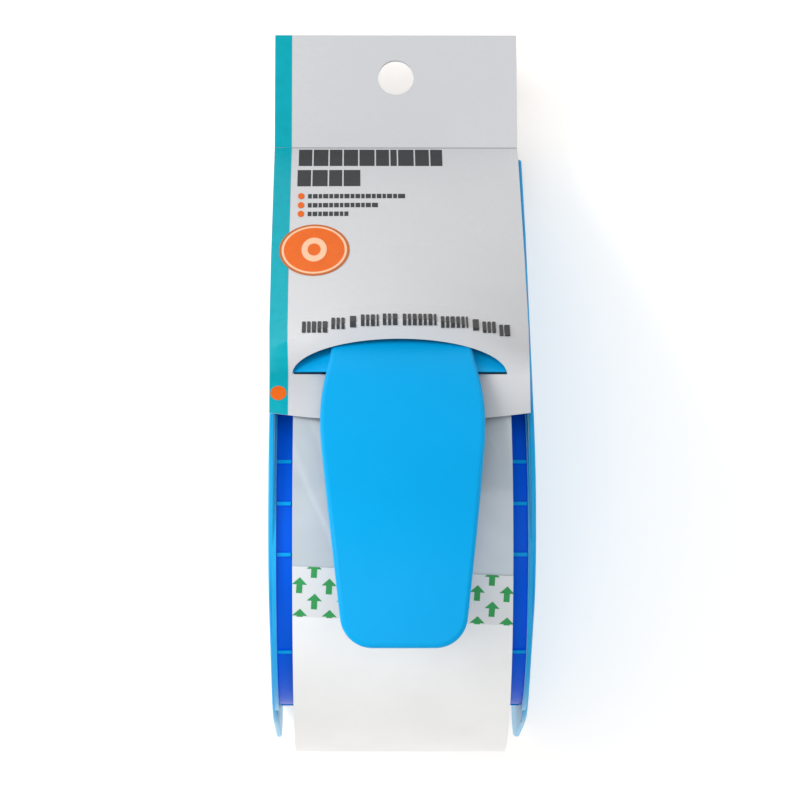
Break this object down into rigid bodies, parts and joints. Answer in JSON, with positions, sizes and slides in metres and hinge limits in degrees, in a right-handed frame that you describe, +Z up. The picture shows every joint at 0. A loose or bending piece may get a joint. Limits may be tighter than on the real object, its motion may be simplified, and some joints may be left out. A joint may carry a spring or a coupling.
{
  "type": "hand-held tape dispenser",
  "caption": "Hand-held packing tape dispenser with two side walls, a curved palm handle over the roll, a toothed nose and a hanging retail card.",
  "frame": {"origin": "centre of the overall box in plan, at the level of the table under the side walls", "axes": "+Z up, +Y towards the cutting nose and the card's hang tab, X across the tape along the roll's axis"},
  "size_m": [0.0596, 0.1699, 0.1201],
  "materials": {
    "body_blue": "moulded sky blue, satin gloss",
    "handle_blue": "moulded sky blue, gloss",
    "hub_blue": "moulded royal blue, gloss",
    "core_board": "spiral-wound board",
    "clear_tape": "wound clear film",
    "leader_white": "white film, start tab printed with green arrows",
    "blade_steel": "bright strip steel",
    "screw_steel": "zinc plated",
    "clear_film": "clear springy film",
    "washer_white": "natural acetal",
    "sleeve_rubber": "dark rubber",
    "card_white": "coated white board with printed panel"
  },
  "bodies": {
    "frame": {"right_wall": "body_blue", "left_wall": "body_blue", "wall_screws_right": "screw_steel", "wall_screws_left": "screw_steel", "hub_screw_right": "screw_steel", "hub_screw_left": "screw_steel", "hub_retainer_right": "body_blue", "hub_retainer_left": "body_blue", "handle_hood": "handle_blue", "blade": "blade_steel", "nose_bar": "body_blue", "blade_screws": "screw_steel", "guide_bar": "body_blue", "keeper_film": "clear_film", "keeper_rivets": "body_blue", "roller_axle": "screw_steel", "axle_washers": "washer_white", "card_front": "card_white", "card_back": "card_white"},
    "tape_roll": {"hub_right": "hub_blue", "hub_left": "hub_blue", "tape_core": "core_board", "tape_winding": "clear_tape", "leader_wrap": "leader_white", "start_tab": "leader_white"},
    "press_roller": {"roller_core": "washer_white", "press_sleeve": "sleeve_rubber"}
  },
  "joints": [
    {"name": "roll_spin", "type": "hinge", "parent": "frame", "child": "tape_roll", "pos_m": [0, -0.0362, 0.052], "axis": [1, 0, 0], "continuous": true},
    {"name": "roller_spin", "type": "hinge", "parent": "frame", "child": "press_roller", "pos_m": [0, 0.0435, 0.0075], "axis": [1, 0, 0], "continuous": true}
  ]
}
